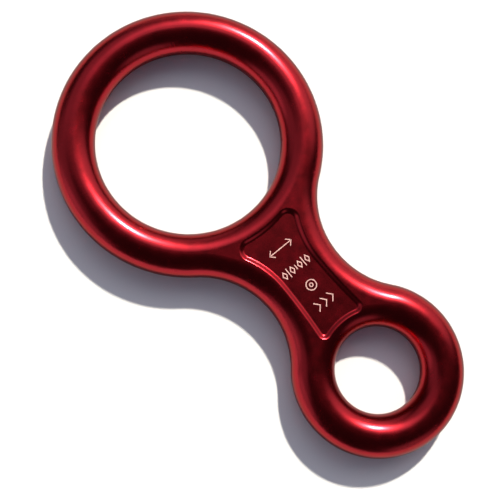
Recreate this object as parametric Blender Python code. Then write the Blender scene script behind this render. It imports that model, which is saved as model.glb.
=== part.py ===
"""A figure-eight descender: one forged bar with a large rope eye and a small connector eye.

Metres, +Z up. The descender lies flat on z = 0 with the middle of its outline on the Z axis.
The long axis is Y, and the large eye is at the +Y end.
"""

import math

import bmesh
import bpy
from mathutils import Vector

# The outline
BIG_EYE_RADIUS = 0.0250      # the rope is passed through this eye
SMALL_EYE_RADIUS = 0.0115    # the connector clips through this one
BAR_WIDTH = 0.0116           # radial width of the bar round both eyes
EYE_SPACING = 0.0790         # centre to centre
WAIST_HALF_WIDTH = 0.0120    # half of the narrowest width between the eyes

# The section of the bar
THICKNESS = 0.0116
LAND_WIDTH = 0.0004          # flat line that the rounding leaves along the crown of the bar
ROUNDING = (BAR_WIDTH - LAND_WIDTH) / 2

# The shallow marking pocket forged into the waist, the same on both faces
POCKET_DEPTH = 0.00075
POCKET_BIG_EYE_OFFSET = 0.0066    # from the edge of the large eye to the pocket's near wall
POCKET_SMALL_EYE_OFFSET = 0.0048  # from the edge of the small eye to the pocket's near wall
POCKET_HALF_WIDTH = 0.00575       # at its narrowest
POCKET_NARROWEST = 0.0460         # from the centre of the large eye to the narrowest line
POCKET_FLARE_RADIUS = 0.0244      # side wall, from the narrowest line towards the large eye
POCKET_SIDE_RADIUS = 0.1500       # side wall, from the narrowest line towards the small eye
POCKET_HORN_RADIUS = 0.0025       # the two corners beside the large eye
POCKET_FOOT_RADIUS = 0.0014       # the two corners beside the small eye
POCKET_WALL_RUN = 0.00045         # how far the sloping wall lies either side of its mid line

# Fineness
SECTION_STEPS = 5            # facets from the crown of the bar to its widest line
ARC_STEP = math.radians(6.4)
CORNER_STEP = math.radians(22.5)
SMOOTH_BELOW = math.radians(32)

BIG_OUTER_RADIUS = BIG_EYE_RADIUS + BAR_WIDTH
SMALL_OUTER_RADIUS = SMALL_EYE_RADIUS + BAR_WIDTH
LENGTH = BIG_OUTER_RADIUS + EYE_SPACING + SMALL_OUTER_RADIUS
BIG_EYE = Vector((0, LENGTH / 2 - BIG_OUTER_RADIUS))
SMALL_EYE = Vector((0, SMALL_OUTER_RADIUS - LENGTH / 2))

ANODISED_RED = (0.34, 0.012, 0.02, 1)


def clear_scene():
    for obj in list(bpy.data.objects):
        bpy.data.objects.remove(obj, do_unlink=True)


def bearing(start, end):
    """The direction from one point to another, as an angle from +X."""
    return math.atan2(end.y - start.y, end.x - start.x)


def circles_meet(first, first_radius, second, second_radius):
    """Of the two points where two circles cross, the one nearer the Y axis."""
    apart = second - first
    along = (first_radius**2 - second_radius**2 + apart.length_squared) / (2 * apart.length)
    aside = math.sqrt(first_radius**2 - along**2)
    direction = apart.normalized()
    middle = first + direction * along
    sideways = Vector((-direction.y, direction.x)) * aside
    return min(middle + sideways, middle - sideways, key=lambda point: abs(point.x))


def arc(centre, radius, start, end, facing, step=ARC_STEP):
    """(point, outward normal) pairs the short way round an arc, without its last point.

    facing is 1 where the metal lies inside the circle, and -1 where it lies outside.
    """
    sweep = (end - start + math.pi) % (2 * math.pi) - math.pi
    count = max(2, round(abs(sweep) / step))
    pairs = []
    for i in range(count):
        angle = start + sweep * i / count
        radial = Vector((math.cos(angle), math.sin(angle)))
        pairs.append((centre + radial * radius, radial * facing))
    return pairs


def eye_edge(centre, radius):
    """The edge of a round eye, whose outward normals point into the eye."""
    pairs = []
    for quarter in range(4):
        pairs += arc(centre, radius, math.pi / 2 * quarter, math.pi / 2 * (quarter + 1), -1)
    return pairs


def mirrored(half):
    """A closed outline from its +X half, whose first and last points are on the Y axis."""
    flip = Vector((-1, 1))
    other = [(point * flip, normal * flip) for point, normal in reversed(half[1:-1])]
    return half + other


def waist_fillet():
    """(centre, radius) of the concave arc tangent to both outer circles at the waist."""
    difference = BIG_OUTER_RADIUS - SMALL_OUTER_RADIUS
    total = BIG_OUTER_RADIUS + SMALL_OUTER_RADIUS
    # The centre is base + slope * radius below the large eye, which leaves one quadratic.
    base = EYE_SPACING / 2 + difference * total / (2 * EYE_SPACING)
    slope = difference / EYE_SPACING
    a = slope**2
    b = 2 * (WAIST_HALF_WIDTH + base * slope - BIG_OUTER_RADIUS)
    c = WAIST_HALF_WIDTH**2 + base**2 - BIG_OUTER_RADIUS**2
    radius = (-b - math.sqrt(b * b - 4 * a * c)) / (2 * a)
    centre = Vector((WAIST_HALF_WIDTH + radius, BIG_EYE.y - base - slope * radius))
    return centre, radius


def silhouette():
    fillet, fillet_radius = waist_fillet()
    # Breaking the large arc at its widest point gives the facets the full width of the bar.
    half = arc(BIG_EYE, BIG_OUTER_RADIUS, math.pi / 2, 0, 1)
    half += arc(BIG_EYE, BIG_OUTER_RADIUS, 0, bearing(BIG_EYE, fillet), 1)
    half += arc(fillet, fillet_radius, bearing(fillet, BIG_EYE), bearing(fillet, SMALL_EYE), -1)
    half += arc(SMALL_EYE, SMALL_OUTER_RADIUS, bearing(SMALL_EYE, fillet), -math.pi / 2, 1)
    half.append((Vector((0, -LENGTH / 2)), Vector((0, -1))))
    return mirrored(half)


def pocket_outline():
    """The mid line of the pocket's wall: six arcs that bulge into the pocket, and four corners."""
    near_big = BIG_EYE_RADIUS + POCKET_BIG_EYE_OFFSET
    near_small = SMALL_EYE_RADIUS + POCKET_SMALL_EYE_OFFSET
    narrowest = Vector((POCKET_HALF_WIDTH, BIG_EYE.y - POCKET_NARROWEST))
    flare = narrowest + Vector((POCKET_FLARE_RADIUS, 0))
    side = narrowest + Vector((POCKET_SIDE_RADIUS, 0))
    round_horn = POCKET_HORN_RADIUS
    round_foot = POCKET_FOOT_RADIUS
    horn = circles_meet(BIG_EYE, near_big + round_horn, flare, POCKET_FLARE_RADIUS + round_horn)
    foot = circles_meet(SMALL_EYE, near_small + round_foot, side, POCKET_SIDE_RADIUS + round_foot)
    half = arc(BIG_EYE, near_big, -math.pi / 2, bearing(BIG_EYE, horn), -1)
    half += arc(horn, round_horn, bearing(horn, BIG_EYE), bearing(horn, flare), 1, CORNER_STEP)
    half += arc(flare, POCKET_FLARE_RADIUS, bearing(flare, horn), math.pi, -1)
    half += arc(side, POCKET_SIDE_RADIUS, math.pi, bearing(side, foot), -1)
    half += arc(foot, round_foot, bearing(foot, side), bearing(foot, SMALL_EYE), 1, CORNER_STEP)
    half += arc(SMALL_EYE, near_small, bearing(SMALL_EYE, foot), math.pi / 2, -1)
    half.append((SMALL_EYE + Vector((0, near_small)), Vector((0, -1))))
    return mirrored(half)


def offset_loop(mesh, outline, inset, height):
    """A ring of vertices at one height, drawn in from the outline along its normals."""
    return [mesh.verts.new((*(point - normal * inset), height)) for point, normal in outline]


def skin(mesh, rings):
    """Quads between each ring of vertices and the next."""
    for lower, upper in zip(rings, rings[1:]):
        for i in range(len(lower)):
            j = (i + 1) % len(lower)
            mesh.faces.new((lower[i], lower[j], upper[j], upper[i]))


def loop_edges(mesh, ring):
    return [mesh.edges.get((ring[i - 1], ring[i])) for i in range(len(ring))]


def mesh_object(name, mesh):
    bmesh.ops.recalc_face_normals(mesh, faces=mesh.faces)
    data = bpy.data.meshes.new(name)
    mesh.to_mesh(data)
    mesh.free()
    obj = bpy.data.objects.new(name, data)
    bpy.context.scene.collection.objects.link(obj)
    return obj


def rounded_section():
    """(inset, height) from the lower land of the bar round its edge to the upper land."""
    stations = []
    for i in range(-SECTION_STEPS, SECTION_STEPS + 1):
        angle = math.pi / 2 * i / SECTION_STEPS
        height = THICKNESS / 2 * (1 + math.sin(angle))
        stations.append((ROUNDING * (1 - math.cos(angle)), height))
    return stations


def forged_body():
    """The plate between the silhouette and the two eyes, with every edge fully rounded."""
    mesh = bmesh.new()
    outlines = [
        silhouette(),
        eye_edge(BIG_EYE, BIG_EYE_RADIUS),
        eye_edge(SMALL_EYE, SMALL_EYE_RADIUS),
    ]
    walls = []
    for outline in outlines:
        rings = [offset_loop(mesh, outline, inset, z) for inset, z in rounded_section()]
        skin(mesh, rings)
        walls.append(rings)
    for face in (0, -1):
        edges = [edge for rings in walls for edge in loop_edges(mesh, rings[face])]
        bmesh.ops.triangle_fill(mesh, edges=edges, use_beauty=True)
    return mesh_object("descender_body", mesh)


def pocket_cutter(name, face_height, outward):
    """A closed block with sloping walls that sinks the pocket into one face.

    outward is 1 for the upper face and -1 for the lower one.
    """
    mesh = bmesh.new()
    outline = pocket_outline()
    rings = []
    for level in (-1, 0, 1):
        inset = -level * 2 * POCKET_WALL_RUN - POCKET_WALL_RUN
        height = face_height + outward * level * POCKET_DEPTH
        rings.append(offset_loop(mesh, outline, inset, height))
    skin(mesh, rings)
    mesh.faces.new(rings[0])
    mesh.faces.new(rings[-1])
    cutter = mesh_object(name, mesh)
    cutter.hide_render = True
    cutter.display_type = "WIRE"
    return cutter


def cut(body, cutter):
    difference = body.modifiers.new(cutter.name, "BOOLEAN")
    difference.operation = "DIFFERENCE"
    difference.solver = "EXACT"
    difference.object = cutter


def anodised(name, colour):
    material = bpy.data.materials.new(name)
    material.use_nodes = True
    shader = material.node_tree.nodes["Principled BSDF"]
    shader.inputs["Base Color"].default_value = colour
    shader.inputs["Metallic"].default_value = 1.0
    shader.inputs["Roughness"].default_value = 0.28
    return material


def main():
    clear_scene()
    body = forged_body()
    cut(body, pocket_cutter("upper_pocket_cutter", THICKNESS, 1))
    cut(body, pocket_cutter("lower_pocket_cutter", 0, -1))
    body.data.materials.append(anodised("anodised_red", ANODISED_RED))
    body.data.shade_smooth()
    body.data.set_sharp_from_angle(angle=SMOOTH_BELOW)


main()
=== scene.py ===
"""The looks of a figure-eight descender: red anodised aluminium, polished, with etched marks."""

import math

import bmesh
import bpy
import numpy as np
from mathutils import Matrix, Vector
from mathutils.geometry import delaunay_2d_cdt


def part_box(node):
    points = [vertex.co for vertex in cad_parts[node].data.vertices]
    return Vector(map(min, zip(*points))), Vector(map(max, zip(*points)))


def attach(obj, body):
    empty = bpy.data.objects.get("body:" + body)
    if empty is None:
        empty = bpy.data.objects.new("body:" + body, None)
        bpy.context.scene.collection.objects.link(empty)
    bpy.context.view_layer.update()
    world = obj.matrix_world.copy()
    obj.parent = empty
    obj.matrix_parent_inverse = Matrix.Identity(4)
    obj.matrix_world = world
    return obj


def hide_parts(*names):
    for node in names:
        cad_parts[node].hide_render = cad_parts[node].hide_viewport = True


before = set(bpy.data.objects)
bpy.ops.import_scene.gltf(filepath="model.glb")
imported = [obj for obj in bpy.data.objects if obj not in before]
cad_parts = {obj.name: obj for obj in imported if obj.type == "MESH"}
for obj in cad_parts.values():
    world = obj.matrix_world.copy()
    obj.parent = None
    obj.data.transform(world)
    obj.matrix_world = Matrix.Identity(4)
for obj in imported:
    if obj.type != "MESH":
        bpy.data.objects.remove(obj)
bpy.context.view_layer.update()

# ---------------------------------------------------------------- sizes
# They come from model.glb or match the CAD, apart from the two whose comments say otherwise.
NODE = "descender_body"
BODY = "root"
low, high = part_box(NODE)
THICKNESS = high.z - low.z
BAR_WIDTH = THICKNESS                     # the bar's section is as wide as it is thick
BIG_OUTER_RADIUS = high.x
BIG_EYE_RADIUS = BIG_OUTER_RADIUS - BAR_WIDTH
SMALL_EYE_RADIUS = 0.0115
SMALL_OUTER_RADIUS = SMALL_EYE_RADIUS + BAR_WIDTH
BIG_EYE = Vector((0, high.y - BIG_OUTER_RADIUS))
SMALL_EYE = Vector((0, low.y + SMALL_OUTER_RADIUS))
EYE_SPACING = BIG_EYE.y - SMALL_EYE.y
WAIST_HALF_WIDTH = 0.0120
HALF_LAND = 0.0001                        # half of the flat line on the bar's crown; twice this in the CAD
ROUNDING = BAR_WIDTH / 2 - HALF_LAND

# The marking pocket: the mid line of its wall, and the wall's width
POCKET_DEPTH = 0.00075
POCKET_BIG_EYE_OFFSET = 0.0066            # from the edge of the large eye
POCKET_SMALL_EYE_OFFSET = 0.0048          # from the edge of the small eye
POCKET_HALF_WIDTH = 0.00575               # at its narrowest
POCKET_NARROWEST = BIG_EYE.y - 0.0460
POCKET_FLARE_RADIUS = 0.0244              # side wall, towards the large eye
POCKET_SIDE_RADIUS = 0.1500               # side wall, towards the small eye
POCKET_HORN_RADIUS = 0.0025               # the two corners beside the large eye
POCKET_FOOT_RADIUS = 0.0014               # the two corners beside the small eye
POCKET_WALL_RUN = 0.00072                 # half of the wall's width with its fillets; 0.00045 in the CAD
POCKET_FLOOR = THICKNESS - POCKET_DEPTH

# Fineness of the visible surface
SECTION_STEPS = 20                        # bands of faces from the bar's edge to its crown
OUTLINE_STEP = 0.0007                     # between points along the silhouette and the eyes
POCKET_STEP = 0.00035                     # between points along the pocket's wall
POCKET_MARGIN = 0.0011                    # the bar's faces stop this far outside the wall's mid line
WALL_RINGS = 15                           # rings of points along the wall, either side of it
OUTER_RING_SHARE = 0.9                    # of the margin, where the outermost ring lies
GRID = 0.0007                             # spacing of the points on the rest of the web
GRID_ROW_SHARE = 0.866                    # of that from row to row, for even triangles
GRID_HALF_WIDTH = 0.017                   # the grid starts wider than the web
GRID_BESIDE_EYE = 0.006                   # and reaches this far up beside the large eye
RING_CLEARANCE = GRID * 0.4               # from the grid to the wall's rings
BORDER_CLEARANCE = GRID * 0.3             # from a loose point to the bar's rings
SAME_POINT = 1e-9                         # points nearer than this would be merged
NORMAL_STEP = 0.00001                     # either side of a point, to find a distance's slope
BLOCK = 4000                              # points handled at a time, to spare memory


# ---------------------------------------------------------------- outlines made of arcs
def bearing(start, end):
    """The direction from one point to another, as an angle from +X."""
    return math.atan2(end.y - start.y, end.x - start.x)


def circles_meet(first, first_radius, second, second_radius):
    """Of the two points where two circles cross, the one nearer the Y axis."""
    apart = second - first
    along = (first_radius**2 - second_radius**2 + apart.length_squared) / (2 * apart.length)
    aside = math.sqrt(first_radius**2 - along**2)
    direction = apart.normalized()
    middle = first + direction * along
    sideways = Vector((-direction.y, direction.x)) * aside
    return min(middle + sideways, middle - sideways, key=lambda point: abs(point.x))


def arc(centre, radius, start, end, facing, step=OUTLINE_STEP):
    """(x, y, outward normal x, y) rows the short way round an arc, without its last point.

    facing is 1 where the metal, or the pocket, lies within the circle, and -1 where it lies beyond.
    """
    sweep = (end - start + math.pi) % (2 * math.pi) - math.pi
    count = max(3, round(abs(sweep) * radius / step))
    angles = start + sweep * np.arange(count) / count
    radial = np.column_stack((np.cos(angles), np.sin(angles)))
    return np.hstack((np.array(centre) + radial * radius, radial * facing))


def eye_edge(centre, radius):
    quarters = [math.pi / 2 * i for i in range(5)]
    return np.vstack([arc(centre, radius, a, b, -1) for a, b in zip(quarters, quarters[1:])])


def closed_outline(arcs, last):
    """The whole outline from the arcs of its +X half and its last point on the Y axis."""
    half = np.vstack([*arcs, last])
    other = half[1:-1][::-1] * (-1, 1, -1, 1)
    return np.vstack((half, other))


def waist_fillet():
    """Centre and radius of the arc that touches both outer circles and the waist's side."""
    difference = BIG_OUTER_RADIUS - SMALL_OUTER_RADIUS
    total = BIG_OUTER_RADIUS + SMALL_OUTER_RADIUS
    base = EYE_SPACING / 2 + difference * total / (2 * EYE_SPACING)
    slope = difference / EYE_SPACING
    a = slope**2
    b = 2 * (WAIST_HALF_WIDTH + base * slope - BIG_OUTER_RADIUS)
    c = WAIST_HALF_WIDTH**2 + base**2 - BIG_OUTER_RADIUS**2
    radius = (-b - math.sqrt(b * b - 4 * a * c)) / (2 * a)
    return Vector((WAIST_HALF_WIDTH + radius, BIG_EYE.y - base - slope * radius)), radius


FILLET, FILLET_RADIUS = waist_fillet()


def silhouette():
    arcs = [
        arc(BIG_EYE, BIG_OUTER_RADIUS, math.pi / 2, 0, 1),
        arc(BIG_EYE, BIG_OUTER_RADIUS, 0, bearing(BIG_EYE, FILLET), 1),
        arc(FILLET, FILLET_RADIUS, bearing(FILLET, BIG_EYE), bearing(FILLET, SMALL_EYE), -1),
        arc(SMALL_EYE, SMALL_OUTER_RADIUS, bearing(SMALL_EYE, FILLET), -math.pi / 2, 1),
    ]
    return closed_outline(arcs, (0, low.y, 0, -1))


def pocket_outline():
    """The mid line of the pocket's wall."""
    near_big = BIG_EYE_RADIUS + POCKET_BIG_EYE_OFFSET
    near_small = SMALL_EYE_RADIUS + POCKET_SMALL_EYE_OFFSET
    narrowest = Vector((POCKET_HALF_WIDTH, POCKET_NARROWEST))
    flare = narrowest + Vector((POCKET_FLARE_RADIUS, 0))
    side = narrowest + Vector((POCKET_SIDE_RADIUS, 0))
    round_horn = POCKET_HORN_RADIUS
    round_foot = POCKET_FOOT_RADIUS
    horn = circles_meet(BIG_EYE, near_big + round_horn, flare, POCKET_FLARE_RADIUS + round_horn)
    foot = circles_meet(SMALL_EYE, near_small + round_foot, side, POCKET_SIDE_RADIUS + round_foot)
    step = POCKET_STEP
    arcs = [
        arc(BIG_EYE, near_big, -math.pi / 2, bearing(BIG_EYE, horn), -1, step),
        arc(horn, round_horn, bearing(horn, BIG_EYE), bearing(horn, flare), 1, step),
        arc(flare, POCKET_FLARE_RADIUS, bearing(flare, horn), math.pi, -1, step),
        arc(side, POCKET_SIDE_RADIUS, math.pi, bearing(side, foot), -1, step),
        arc(foot, round_foot, bearing(foot, side), bearing(foot, SMALL_EYE), 1, step),
        arc(SMALL_EYE, near_small, bearing(SMALL_EYE, foot), math.pi / 2, -1, step),
    ]
    return closed_outline(arcs, (0, SMALL_EYE.y + near_small, 0, -1))


POCKET = pocket_outline()


# ---------------------------------------------------------------- the height of the surface
def edge_distance(points):
    """How far inside the metal each (x, y) lies from the nearest silhouette or eye edge."""
    x = np.abs(points[:, 0])
    y = points[:, 1]
    from_big = np.hypot(x, y - BIG_EYE.y)
    from_small = np.hypot(x, y - SMALL_EYE.y)
    from_fillet = np.hypot(x - FILLET.x, y - FILLET.y)
    # Lines from the fillet's centre to the eyes part the outline's three kinds of arc.
    across, along = x - FILLET.x, y - FILLET.y
    above = -along * FILLET.x - across * (BIG_EYE.y - FILLET.y) < 0
    below = -along * FILLET.x - across * (SMALL_EYE.y - FILLET.y) > 0
    outer = from_fillet - FILLET_RADIUS
    outer = np.where(above, BIG_OUTER_RADIUS - from_big, outer)
    outer = np.where(below, SMALL_OUTER_RADIUS - from_small, outer)
    eyes = np.minimum(from_big - BIG_EYE_RADIUS, from_small - SMALL_EYE_RADIUS)
    return np.minimum(outer, eyes)


def pocket_distance(points):
    """Signed distance to the mid line of the pocket's wall, positive inside the pocket."""
    start = POCKET[:, :2]
    run = np.roll(start, -1, 0) - start
    result = np.empty(len(points))
    for block in np.array_split(np.arange(len(points)), max(1, len(points) // BLOCK)):
        to_point = points[block, None, :] - start[None]
        share = np.clip((to_point * run).sum(2) / (run**2).sum(1), 0, 1)
        gap = np.hypot(*np.moveaxis(to_point - share[..., None] * run, 2, 0))
        # A point is inside if a line from it towards +X crosses the outline an odd number of times.
        x = points[block, None, 0]
        y = points[block, None, 1]
        spans = (start[:, 1] <= y) != (start[:, 1] + run[:, 1] <= y)
        rise = np.where(run[:, 1] == 0, 1, run[:, 1])
        crossing = start[:, 0] + (y - start[:, 1]) / rise * run[:, 0]
        inside = (spans & (x < crossing)).sum(1) % 2 == 1
        result[block] = np.where(inside, 1, -1) * gap.min(1)
    return result


def wall_share(points):
    """How far across the pocket's wall each (x, y) lies: 0 on the web, 1 on the pocket's floor."""
    return np.clip((pocket_distance(points) + POCKET_WALL_RUN) / (2 * POCKET_WALL_RUN), 0, 1)


def sunk_share(across):
    """How much of the pocket's depth is reached at a share of the way across its wall."""
    return across * across * (3 - 2 * across)


def surface_height(points):
    """The upper face over each (x, y): a round section, a flat web, and the pocket in it."""
    inset = np.clip(edge_distance(points), 0, ROUNDING)
    crown = THICKNESS / 2 * (1 + np.sqrt(1 - (1 - inset / ROUNDING) ** 2))
    sunk = sunk_share(wall_share(points))
    return crown * (1 - sunk) + POCKET_FLOOR * sunk


def slope_of(distance, points):
    """The direction in which a distance grows fastest, at each (x, y)."""
    across, along = (NORMAL_STEP, 0), (0, NORMAL_STEP)
    return np.column_stack([
        (distance(points + way) - distance(points - way)) / (2 * NORMAL_STEP)
        for way in (across, along)
    ])


def surface_normal(points):
    """The exact normal of the upper face over each (x, y), so facets never show in a highlight."""
    left = 1 - np.clip(edge_distance(points), 0, ROUNDING) / ROUNDING
    rise = np.sqrt(1 - left**2)
    crown = THICKNESS / 2 * (1 + rise)
    across = wall_share(points)
    steepness = 6 * across * (1 - across) / (2 * POCKET_WALL_RUN)
    drop = (POCKET_FLOOR - crown) * steepness * rise
    lean = THICKNESS / (2 * ROUNDING) * left * (1 - sunk_share(across))
    flat = -slope_of(edge_distance, points) * lean[:, None]
    flat -= slope_of(pocket_distance, points) * drop[:, None]
    normal = np.column_stack((flat, rise))
    return normal / np.linalg.norm(normal, axis=1)[:, None]


# ---------------------------------------------------------------- objects
def placed(name, data):
    """An object that holds the data, put in the scene."""
    obj = bpy.data.objects.new(name, data)
    bpy.context.scene.collection.objects.link(obj)
    return obj


def object_of(name, mesh):
    """An object made from a bmesh, which is freed."""
    data = bpy.data.meshes.new(name)
    mesh.to_mesh(data)
    mesh.free()
    return placed(name, data)


# ---------------------------------------------------------------- the mesh of the body
def edges_round(loop):
    """The edges of a closed loop of numbers, each with its smaller number first."""
    return [tuple(sorted(pair)) for pair in zip(loop, loop[1:] + loop[:1])]


def strip(outline, first):
    """(points, quads) of the rings from an edge up to the crown; ring 0 is the edge itself."""
    count = len(outline)
    points = []
    for step in range(SECTION_STEPS + 1):
        inset = ROUNDING * (1 - math.cos(math.pi / 2 * step / SECTION_STEPS))
        points.append(outline[:, :2] - outline[:, 2:] * inset)
    quads = []
    for step in range(SECTION_STEPS):
        here = first + step * count
        for i in range(count):
            j = (i + 1) % count
            quads.append((here + i, here + j, here + count + j, here + count + i))
    return np.vstack(points), quads


def bar_strips():
    """(points, quads, edge rings) of the bar round both eyes, left open where the pocket is."""
    outlines = [
        silhouette(),
        eye_edge(BIG_EYE, BIG_EYE_RADIUS),
        eye_edge(SMALL_EYE, SMALL_EYE_RADIUS),
    ]
    points = np.empty((0, 2))
    quads = []
    edge_rings = set()
    for outline in outlines:
        first = len(points)
        new_points, new_quads = strip(outline, first)
        points = np.vstack((points, new_points))
        quads += new_quads
        edge_rings.update(edges_round(list(range(first, first + len(outline)))))
    near_pocket = pocket_distance(points) > -POCKET_MARGIN
    quads = [quad for quad in quads if not any(near_pocket[i] for i in quad)]
    return points, quads, edge_rings


def border_edges(faces):
    """The edges that only one face has, in the order in which they are met."""
    met = {}
    for face in faces:
        for edge in edges_round(face):
            met[edge] = met.get(edge, 0) + 1
    return [edge for edge, times in met.items() if times == 1]


def web_points():
    """Fine points for the flat web: rings along the pocket's wall and a grid elsewhere."""
    offsets = np.linspace(-POCKET_MARGIN, POCKET_MARGIN * OUTER_RING_SHARE, WALL_RINGS)
    rings = [POCKET[:, :2] + POCKET[:, 2:] * offset for offset in offsets]
    columns = np.arange(-GRID_HALF_WIDTH, GRID_HALF_WIDTH, GRID)
    bottom = SMALL_EYE.y + SMALL_EYE_RADIUS
    top = BIG_EYE.y - BIG_EYE_RADIUS + GRID_BESIDE_EYE
    rows = np.arange(bottom, top, GRID * GRID_ROW_SHARE)
    grid = np.array([(x + GRID / 2 * (i % 2), y) for i, y in enumerate(rows) for x in columns])
    clear = np.abs(pocket_distance(grid)) > POCKET_MARGIN + RING_CLEARANCE
    return np.vstack((*rings, grid[clear]))


def flood(faces, barrier, seed):
    """The faces reached from the seed face without crossing a barrier edge."""
    by_edge = {}
    for number, face in enumerate(faces):
        for edge in edges_round(face):
            by_edge.setdefault(edge, []).append(number)
    reached = {seed}
    front = [seed]
    while front:
        for edge in edges_round(faces[front.pop()]):
            if edge in barrier:
                continue
            for other in by_edge[edge]:
                if other not in reached:
                    reached.add(other)
                    front.append(other)
    return sorted(reached)


def fill_web(points, quads, edge_rings):
    """(new points, triangles) over everything that the strips leave open."""
    border = [edge for edge in border_edges(quads) if edge not in edge_rings]
    used = sorted({i for edge in border for i in edge})
    rim = points[used]
    loose = web_points()
    from_rim = np.array([np.hypot(*(rim - point).T).min() for point in loose])
    loose = loose[from_rim > BORDER_CLEARANCE]
    loose = loose[edge_distance(loose) > 0]
    places = [Vector(point) for point in np.vstack((rim, loose))]
    rank = {i: number for number, i in enumerate(used)}
    edges = [(rank[a], rank[b]) for a, b in border]
    _, _, faces, origins, _, _ = delaunay_2d_cdt(places, edges, [], 0, SAME_POINT)
    if [list(sources) for sources in origins] != [[i] for i in range(len(places))]:
        raise RuntimeError("the triangulation merged, added or reordered points")
    inside = Vector((0, POCKET_NARROWEST))
    middles = [sum((places[i] for i in face), Vector((0, 0))) / 3 for face in faces]
    seed = min(range(len(faces)), key=lambda number: (middles[number] - inside).length)
    kept = flood(faces, {tuple(sorted(edge)) for edge in edges}, seed)
    index = used + list(range(len(points), len(points) + len(loose)))
    return loose, [tuple(index[i] for i in faces[number]) for number in kept]


def make_body():
    points, quads, edge_rings = bar_strips()
    loose, triangles = fill_web(points, quads, edge_rings)
    points = np.vstack((points, loose))
    faces = quads + triangles
    at_mid_thickness = {i for edge in edge_rings for i in edge}
    used = sorted({i for face in faces for i in face})
    top = dict(zip(used, surface_height(points[used])))
    normal = dict(zip(used, surface_normal(points[used])))
    mesh = bmesh.new()
    upper = {i: mesh.verts.new((*points[i], top[i])) for i in used}
    lower = {
        i: upper[i] if i in at_mid_thickness else mesh.verts.new((*points[i], THICKNESS - top[i]))
        for i in used
    }
    for face in faces:
        mesh.faces.new([upper[i] for i in face])
        mesh.faces.new([lower[i] for i in reversed(face)])
    bmesh.ops.recalc_face_normals(mesh, faces=mesh.faces)
    mesh.verts.index_update()
    normals = np.zeros((len(mesh.verts), 3))
    for i in used:
        normals[lower[i].index] = normal[i] * (1, 1, -1)
        normals[upper[i].index] = normal[i]
    body = object_of("descender", mesh)
    body.data.shade_smooth()
    body.data.normals_split_custom_set_from_vertices(normals)
    return body


# ---------------------------------------------------------------- the etched marks
MARK_STROKE = 0.00026                     # width of an etched line
MARK_SKIN = 0.00002                       # how far a mark's slab rises above the pocket's floor
MARK_HEIGHT = 0.0028                      # height of each row
MITRE_LIMIT = 0.4                         # a corner reaches at most half a stroke over this
RING_SIDES = 32
ARROW_HALF_LENGTH = 0.0036
ARROW_HEAD = 0.0011
LOT_KITES = 4
SHORT_BAR = 0.5                           # share of the row's height
LOT_PITCH = 0.0025                        # from one kite to the next, with a bar half way
KITE_HALF_WIDTH = 0.0006
KITE_HALF_HEIGHT = 0.0010
ROPE_CORE = 1 / 3                         # share of the rope's width
SIGN_SHIFT = 0.0001                       # how far towards +X the rope and way signs sit
CHEVRON_PITCH = 0.0022
CHEVRON_HALF_WIDTH = 0.0006


def mark_section(mesh, point, before, after):
    """Four corners of the slab at a point of its path, mitred between the two directions."""
    arriving = (point - before).normalized()
    leaving = (after - point).normalized()
    side = Vector((-arriving.y - leaving.y, arriving.x + leaving.x)).normalized()
    mitre = side.dot(Vector((-arriving.y, arriving.x)))
    reach = MARK_STROKE / 2 / max(MITRE_LIMIT, mitre)
    sides = [point - side * reach, point + side * reach]
    return [
        mesh.verts.new((*corner, POCKET_FLOOR + height))
        for height, pair in ((-MARK_SKIN, sides), (MARK_SKIN, sides[::-1]))
        for corner in pair
    ]


def stroke(mesh, path, closed):
    """A thin slab of constant width along a path."""
    path = [Vector(point) for point in path]
    count = len(path)
    sections = []
    for i, point in enumerate(path):
        before = path[i - 1] if closed or i else point - (path[1] - point)
        after = path[(i + 1) % count] if closed or i < count - 1 else point + (point - path[-2])
        sections.append(mark_section(mesh, point, before, after))
    for here, there in zip(sections, sections[1:] + sections[:1] if closed else sections[1:]):
        for k in range(4):
            mesh.faces.new((here[k], here[(k + 1) % 4], there[(k + 1) % 4], there[k]))
    if not closed:
        mesh.faces.new(sections[0][::-1])
        mesh.faces.new(sections[-1])


def ring(x, y, radius):
    turns = [math.tau * i / RING_SIDES for i in range(RING_SIDES)]
    return [(x + radius * math.cos(turn), y + radius * math.sin(turn)) for turn in turns], True


def kite(x, y):
    wide, tall = KITE_HALF_WIDTH, KITE_HALF_HEIGHT
    return [(x - wide, y), (x, y - tall), (x + wide, y), (x, y + tall)], True


def bar(x, y, half_height):
    return [(x, y - half_height), (x, y + half_height)], False


def arrow_head(x, y, run, half_height):
    """Two lines that meet at a tip, (x, y), which points to +X where run is positive."""
    return [(x - run, y - half_height), (x, y), (x - run, y + half_height)], False


def load_arrow(y):
    """A line with a head at each end: the way the load runs."""
    tip, head = ARROW_HALF_LENGTH, ARROW_HEAD
    line = [(-tip, y), (tip, y)], False
    return [line, arrow_head(-tip, y, -head, head), arrow_head(tip, y, head, head)]


def lot_row(y):
    """Kites and bars in turn, like the dot code of a lot. Every other bar is short."""
    paths = []
    for i in range(LOT_KITES):
        x = (i - (LOT_KITES - 1) / 2) * LOT_PITCH
        paths.append(kite(x, y))
        share = SHORT_BAR if i % 2 else 1
        paths.append(bar(x + LOT_PITCH / 2, y, MARK_HEIGHT / 2 * share))
    return paths[:-1]


def rope_sign(y):
    """A round rope, cut across, with its core."""
    radius = MARK_HEIGHT / 2
    return [ring(SIGN_SHIFT, y, radius), ring(SIGN_SHIFT, y, radius * ROPE_CORE)]


def way_sign(y):
    """Three chevrons."""
    tips = [SIGN_SHIFT + step * CHEVRON_PITCH + CHEVRON_HALF_WIDTH for step in (-1, 0, 1)]
    return [arrow_head(x, y, 2 * CHEVRON_HALF_WIDTH, MARK_HEIGHT / 2) for x in tips]


# Each row and how far its middle lies from the large eye's centre
MARK_ROWS = {
    "load_arrow": (load_arrow, 0.0380),
    "lot_row": (lot_row, 0.0444),
    "rope_sign": (rope_sign, 0.0505),
    "way_sign": (way_sign, 0.0560),
}


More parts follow.
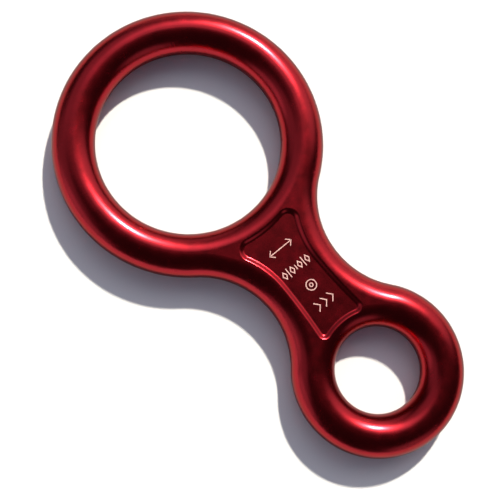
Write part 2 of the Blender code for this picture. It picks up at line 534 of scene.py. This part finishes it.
def make_marks(material):
    for name, (drawing, from_big_eye) in MARK_ROWS.items():
        mesh = bmesh.new()
        for path, closed in drawing(BIG_EYE.y - from_big_eye):
            stroke(mesh, path, closed)
        bmesh.ops.recalc_face_normals(mesh, faces=mesh.faces)
        mark = object_of(f"etched_{name}", mesh)
        mark.data.materials.append(material)
        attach(mark, BODY)


# ---------------------------------------------------------------- building blocks of materials
NOISE_RANGE = (0.3, 0.7)                  # most of a noise's values lie between these


def new_material(name):
    """A new material, with its node tree and its shader."""
    material = bpy.data.materials.new(name)
    material.use_nodes = True
    return material, material.node_tree, material.node_tree.nodes["Principled BSDF"]


def place_in(tree):
    """The place on the object, in metres."""
    return tree.nodes.new("ShaderNodeTexCoord").outputs["Object"]


def noise_of(tree, place, scale, detail):
    """A noise value, mostly within NOISE_RANGE, with features roughly 1 / scale metres wide."""
    noise = tree.nodes.new("ShaderNodeTexNoise")
    tree.links.new(place, noise.inputs["Vector"])
    noise.inputs["Scale"].default_value = scale
    noise.inputs["Detail"].default_value = detail
    return noise.outputs["Fac"]


def remap(tree, value, before, after, interpolation="LINEAR"):
    """A value carried from one range of levels to another, and held at their ends."""
    fit = tree.nodes.new("ShaderNodeMapRange")
    fit.interpolation_type = interpolation
    tree.links.new(value, fit.inputs["Value"])
    fit.inputs["From Min"].default_value, fit.inputs["From Max"].default_value = before
    fit.inputs["To Min"].default_value, fit.inputs["To Max"].default_value = after
    return fit.outputs["Result"]


def math_of(tree, operation, *values):
    """The result of a Math node on sockets or plain numbers."""
    node = tree.nodes.new("ShaderNodeMath")
    node.operation = operation
    for value, socket in zip(values, node.inputs):
        if isinstance(value, float):
            socket.default_value = value
        else:
            tree.links.new(value, socket)
    return node.outputs[0]


def mottle(tree, noise, first, second):
    """Two colours mixed in soft patches."""
    mix = tree.nodes.new("ShaderNodeMix")
    mix.data_type = "RGBA"
    tree.links.new(remap(tree, noise, NOISE_RANGE, (0, 1)), mix.inputs["Factor"])
    mix.inputs["A"].default_value = first
    mix.inputs["B"].default_value = second
    return mix.outputs["Result"]


def bump_of(tree, height, depth, under=None):
    """A bump of the given depth in metres, laid over another bump."""
    bump = tree.nodes.new("ShaderNodeBump")
    bump.inputs["Distance"].default_value = depth
    tree.links.new(height, bump.inputs["Height"])
    if under:
        tree.links.new(under, bump.inputs["Normal"])
    return bump.outputs["Normal"]


# ---------------------------------------------------------------- materials
# A noise is given by its features per metre and its detail.
DYE_NOISE = (140, 3)
DYE_DEEP = (0.310, 0.0070, 0.0155, 1)
DYE_THIN = (0.355, 0.0085, 0.0195, 1)
SATIN_NOISE = (420, 4)
SATIN_RANGE = (0.225, 0.275)              # roughness
PARTING_EDGES = (0.0002, 0.0006)          # the band fades out between these, from mid thickness
PARTING_DULLING = (0.09, 0.0)             # roughness that it adds, at its core and outside
TUMBLING = [                              # what it leaves: a noise, and its bump's depth in metres
    ((110, 1), 0.00010),                  # slow waves
    ((1300, 2), 0.000006),                # fine orange peel
    ((7000, 2), 0.0000016),               # hair-fine grain
]
EDGE_TINT = (0.18, 0.03, 0.04, 1)         # the metal's reflection at grazing angles
OXIDE_WEIGHT = 0.50                       # the clear oxide is the shader's coat
OXIDE_ROUGHNESS = 0.22
OXIDE_IOR = 1.35

ETCH_NOISE = (1800, 3)
ETCH_DEEP = (0.62, 0.34, 0.34, 1)
ETCH_PALE = (0.77, 0.51, 0.50, 1)
ETCH_METALLIC = 0.15
ETCH_ROUGHNESS = 0.62
HATCH_SCALE = 5000                        # the laser's close lines
HATCH_DISTORTION = 0.6
HATCH_DEPTH = 0.000004

FLOOR_COLOUR = (0.87, 0.88, 0.96, 1)
FLOOR_ROUGHNESS = 0.8


def anodised_red():
    """Red dye under a clear, satin-glossy oxide, on forged and tumbled aluminium."""
    material, tree, shader = new_material("anodised_red_polish")
    place = place_in(tree)
    shader.inputs["Metallic"].default_value = 1.0

    # The dye takes a little unevenly.
    dye = mottle(tree, noise_of(tree, place, *DYE_NOISE), DYE_DEEP, DYE_THIN)
    tree.links.new(dye, shader.inputs["Base Color"])

    # The forging's parting line was trimmed and tumbled: a fine, duller band at mid thickness.
    split = tree.nodes.new("ShaderNodeSeparateXYZ")
    tree.links.new(place, split.inputs[0])
    off_middle = math_of(tree, "SUBTRACT", split.outputs["Z"], THICKNESS / 2)
    band = remap(
        tree, math_of(tree, "ABSOLUTE", off_middle), PARTING_EDGES, PARTING_DULLING, "SMOOTHSTEP"
    )
    satin = remap(tree, noise_of(tree, place, *SATIN_NOISE), NOISE_RANGE, SATIN_RANGE)
    tree.links.new(math_of(tree, "ADD", satin, band), shader.inputs["Roughness"])

    normal = None
    for noise, depth in TUMBLING:
        normal = bump_of(tree, noise_of(tree, place, *noise), depth, normal)
    tree.links.new(normal, shader.inputs["Normal"])

    shader.inputs["Specular Tint"].default_value = EDGE_TINT
    shader.inputs["Coat Weight"].default_value = OXIDE_WEIGHT
    shader.inputs["Coat Roughness"].default_value = OXIDE_ROUGHNESS
    shader.inputs["Coat IOR"].default_value = OXIDE_IOR
    return material


def etched_pale():
    """Bare, frosted aluminium where a laser burnt the dye away in close lines."""
    material, tree, shader = new_material("etched_pale")
    place = place_in(tree)
    burn = mottle(tree, noise_of(tree, place, *ETCH_NOISE), ETCH_DEEP, ETCH_PALE)
    tree.links.new(burn, shader.inputs["Base Color"])
    shader.inputs["Metallic"].default_value = ETCH_METALLIC
    shader.inputs["Roughness"].default_value = ETCH_ROUGHNESS
    hatch = tree.nodes.new("ShaderNodeTexWave")
    hatch.bands_direction = "Y"
    tree.links.new(place, hatch.inputs["Vector"])
    hatch.inputs["Scale"].default_value = HATCH_SCALE
    hatch.inputs["Distortion"].default_value = HATCH_DISTORTION
    frost = bump_of(tree, hatch.outputs["Fac"], HATCH_DEPTH)
    tree.links.new(frost, shader.inputs["Normal"])
    return material


def floor_material():
    material, _, shader = new_material("pale_floor")
    shader.inputs["Base Color"].default_value = FLOOR_COLOUR
    shader.inputs["Roughness"].default_value = FLOOR_ROUGHNESS
    return material


# ---------------------------------------------------------------- floor, light, camera
FLOOR_SIZE = 6
FLOOR_GAP = 0.00005                       # keeps the floor just clear of the metal


def make_floor():
    bpy.ops.mesh.primitive_plane_add(size=FLOOR_SIZE, location=(0, 0, low.z - FLOOR_GAP))
    plane = bpy.context.object
    plane.name = "studio_floor"
    plane.data.materials.append(floor_material())


def direction_of(compass, height):
    """The unit vector for a compass angle from +X and a height above the floor, in degrees."""
    compass, height = math.radians(compass), math.radians(height)
    flat = math.cos(height)
    return Vector((flat * math.cos(compass), flat * math.sin(compass), math.sin(height)))


WORLD_BASE = (0.030, 0.028, 0.032)        # the studio, where no panel lights it

# Soft round panels: compass from +X, height above the floor, the half widths of the bright
# middle and of the whole, all in degrees, then brightness and colour
PANELS = [
    (12, 28, 14, 40, 0.95, (1.0, 0.97, 0.93)),   # wide and bright, under the key
    (42, 58, 5, 21, 0.95, (0.98, 0.97, 1.0)),    # small and bright, above the key
    (54, 3, 6, 28, 0.45, (1.0, 0.97, 0.95)),     # on the horizon, between +X and the large eye
    (82, 50, 10, 32, 0.40, (0.97, 0.97, 1.0)),   # dim and high, over the large eye's end
    (138, 30, 6, 34, 0.32, (0.97, 0.97, 1.0)),   # dim, between the large eye and -X
    (163, 6, 8, 30, 0.58, (0.97, 0.97, 1.0)),    # low, on the -X side
    (-96, 12, 4, 24, 0.45, (1.0, 0.98, 0.96)),   # low, beyond the small eye
]


def soft_panel(tree, towards, compass, height, middle, whole, brightness, colour):
    """Light from a round patch of the world, fading smoothly to nothing at its edge."""
    facing = tree.nodes.new("ShaderNodeVectorMath")
    facing.operation = "DOT_PRODUCT"
    tree.links.new(towards, facing.inputs[0])
    facing.inputs[1].default_value = direction_of(compass, height)
    edges = (math.cos(math.radians(whole)), math.cos(math.radians(middle)))
    fade = remap(tree, facing.outputs["Value"], edges, (0, brightness), "SMOOTHERSTEP")
    tint = tree.nodes.new("ShaderNodeVectorMath")
    tint.operation = "SCALE"
    tint.inputs[0].default_value = colour
    tree.links.new(fade, tint.inputs["Scale"])
    return tint.outputs[0]


def make_world():
    """A dim studio with soft round panels."""
    world = bpy.data.worlds.new("studio")
    bpy.context.scene.world = world
    world.use_nodes = True
    tree = world.node_tree
    towards = tree.nodes.new("ShaderNodeTexCoord").outputs["Generated"]
    base = tree.nodes.new("ShaderNodeRGB")
    base.outputs[0].default_value = (*WORLD_BASE, 1)
    light = base.outputs[0]
    for panel in PANELS:
        both = tree.nodes.new("ShaderNodeVectorMath")
        tree.links.new(light, both.inputs[0])
        tree.links.new(soft_panel(tree, towards, *panel), both.inputs[1])
        light = both.outputs[0]
    tree.links.new(light, tree.nodes["Background"].inputs["Color"])


KEY_DIRECTION = direction_of(27, 43.5)
KEY_STRENGTH = 4.9
KEY_COLOUR = (1.0, 0.93, 0.75)
KEY_WIDTH = 2.5                           # degrees across, as seen from the object


def make_key():
    sun = bpy.data.lights.new("key", "SUN")
    sun.energy = KEY_STRENGTH
    sun.angle = math.radians(KEY_WIDTH)
    sun.color = KEY_COLOUR
    key = placed("key", sun)
    key.rotation_euler = KEY_DIRECTION.to_track_quat("Z", "Y").to_euler()


FILL_DIAMETER = 3.0                       # metres
FILL_POWER = 3.0                          # watts
FILL_COLOUR = (0.66, 0.74, 1.0)
FILL_HEIGHT = 1.2                         # metres


def make_fill():
    """Cool light from all over the ceiling, which lifts the shadows but shows in no reflection."""
    area = bpy.data.lights.new("fill", "AREA")
    area.shape = "DISK"
    area.size = FILL_DIAMETER
    area.energy = FILL_POWER
    area.color = FILL_COLOUR
    fill = placed("fill", area)
    fill.location = (0, 0, FILL_HEIGHT)
    fill.visible_glossy = False
    fill.visible_camera = False


# The camera looks down at the waist, turned so that the small eye is at the lower right.
CAMERA_AIM = Vector((-0.0050, 0.0007, THICKNESS / 2))
CAMERA_DISTANCE = 0.263
CAMERA_COMPASS = -156.3
CAMERA_HEIGHT = 80.9
CAMERA_ROLL = 39.7
CAMERA_NEAR = 0.01                        # nothing nearer than this is seen
LENS = 70.9
SENSOR_WIDTH = 36                         # millimetres, as the lens is


def make_camera():
    data = bpy.data.cameras.new("camera")
    data.lens = LENS
    data.sensor_width = SENSOR_WIDTH
    data.sensor_fit = "HORIZONTAL"
    data.clip_start = CAMERA_NEAR
    back = direction_of(CAMERA_COMPASS, CAMERA_HEIGHT)
    level_right = Vector((0, 1, 0)).cross(back).normalized()
    right = Matrix.Rotation(-math.radians(CAMERA_ROLL), 3, back) @ level_right
    turn = Matrix((right, back.cross(right), back)).transposed().to_4x4()
    camera = placed("camera", data)
    camera.matrix_world = Matrix.Translation(CAMERA_AIM + back * CAMERA_DISTANCE) @ turn
    bpy.context.scene.camera = camera


body = make_body()
body.data.materials.append(anodised_red())
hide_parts(NODE)
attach(body, BODY)
make_marks(etched_pale())

make_floor()
make_world()
make_key()
make_fill()
make_camera()
bpy.context.scene.view_settings.view_transform = "Standard"
